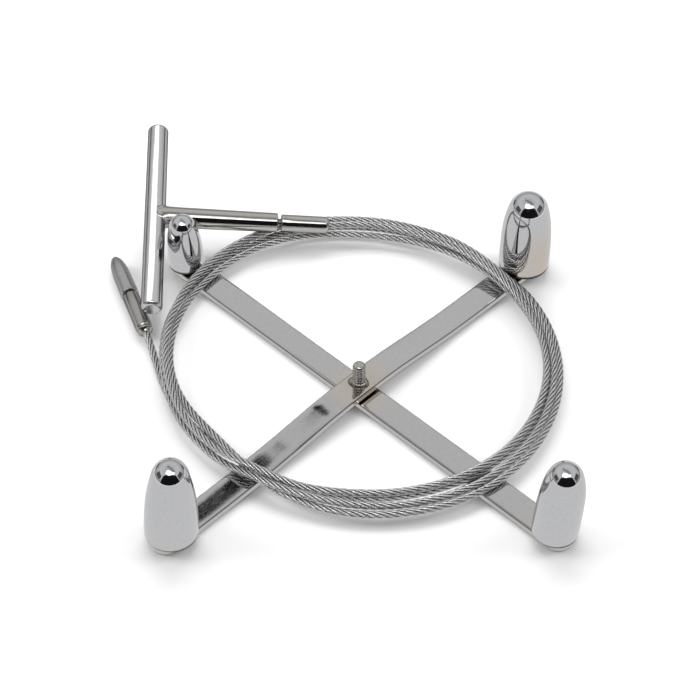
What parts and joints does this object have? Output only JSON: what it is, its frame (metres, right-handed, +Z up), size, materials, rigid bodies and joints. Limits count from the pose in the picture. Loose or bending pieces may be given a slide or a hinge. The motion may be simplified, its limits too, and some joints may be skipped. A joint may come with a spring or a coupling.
{
  "type": "vein stripper set",
  "caption": "Coiled wire rope with a T-handle and a screwed nose tip, laid on a cross-shaped rack of flat bars with a bullet head screwed on each end.",
  "frame": {"origin": "underside of the lower rack bar, below the crossing of the two bars", "axes": "+Z up off the table; the bars run along the two diagonals of X and Y; -Y is the front, with the largest clear view of the bare centre stud; the handle and the nose tip lie on the -X side"},
  "size_m": [0.1469, 0.169, 0.0342],
  "materials": {
    "rack_steel": "flat steel bar, rolled and lightly polished, heat tinted at the welds",
    "stud_steel": "cut screw thread, bright crests and dark roots",
    "weld_steel": "weld bead with straw heat tint",
    "head_steel": "mirror polished stainless steel",
    "handle_steel": "polished stainless steel with fine lengthwise lines",
    "fitting_steel": "turned and polished stainless steel",
    "rope_steel": "bright stainless wire rope, six right-hand strands"
  },
  "bodies": {
    "rack": {"rack_lower_bar": "rack_steel", "rack_upper_bar": "rack_steel", "centre_stud": "stud_steel", "centre_weld": "weld_steel", "stud_front_left": "stud_steel", "stud_front_right": "stud_steel", "stud_rear_right": "stud_steel", "stud_rear_left": "stud_steel"},
    "cable": {"ferrule": "fitting_steel", "rope_lead": "rope_steel", "rope_coil": "rope_steel", "rope_tail": "rope_steel", "tip_sleeve": "fitting_steel", "tip_thread": "stud_steel"},
    "handle": {"handle_crosspiece": "handle_steel", "handle_stem": "handle_steel", "handle_thread": "stud_steel"},
    "nose": {"tip_nose": "fitting_steel"},
    "head_front_left": {"head_front_left": "head_steel"},
    "head_front_right": {"head_front_right": "head_steel"},
    "head_rear_right": {"head_rear_right": "head_steel"},
    "head_rear_left": {"head_rear_left": "head_steel"}
  },
  "joints": [
    {"name": "unscrew_head_front_left", "type": "slide", "parent": "rack", "child": "head_front_left", "axis": [0.0523, 0, 0.9986], "range_m": [0, 0.009]},
    {"name": "unscrew_head_front_right", "type": "slide", "parent": "rack", "child": "head_front_right", "axis": [0.0523, 0, 0.9986], "range_m": [0, 0.009]},
    {"name": "unscrew_head_rear_right", "type": "slide", "parent": "rack", "child": "head_rear_right", "axis": [0, 0, 1], "range_m": [0, 0.009]},
    {"name": "unscrew_head_rear_left", "type": "slide", "parent": "rack", "child": "head_rear_left", "axis": [0, 0, 1], "range_m": [0, 0.009]},
    {"name": "lift_cable_off_rack", "type": "slide", "parent": "rack", "child": "cable", "axis": [0, 0, 1], "range_m": [0, 0.045]},
    {"name": "unscrew_handle", "type": "slide", "parent": "cable", "child": "handle", "axis": [-0.9933, -0.0326, 0.1107], "range_m": [0, 0.0085]},
    {"name": "unscrew_nose", "type": "slide", "parent": "cable", "child": "nose", "axis": [-0.345, 0.9386, 0], "range_m": [0, 0.0065]}
  ]
}
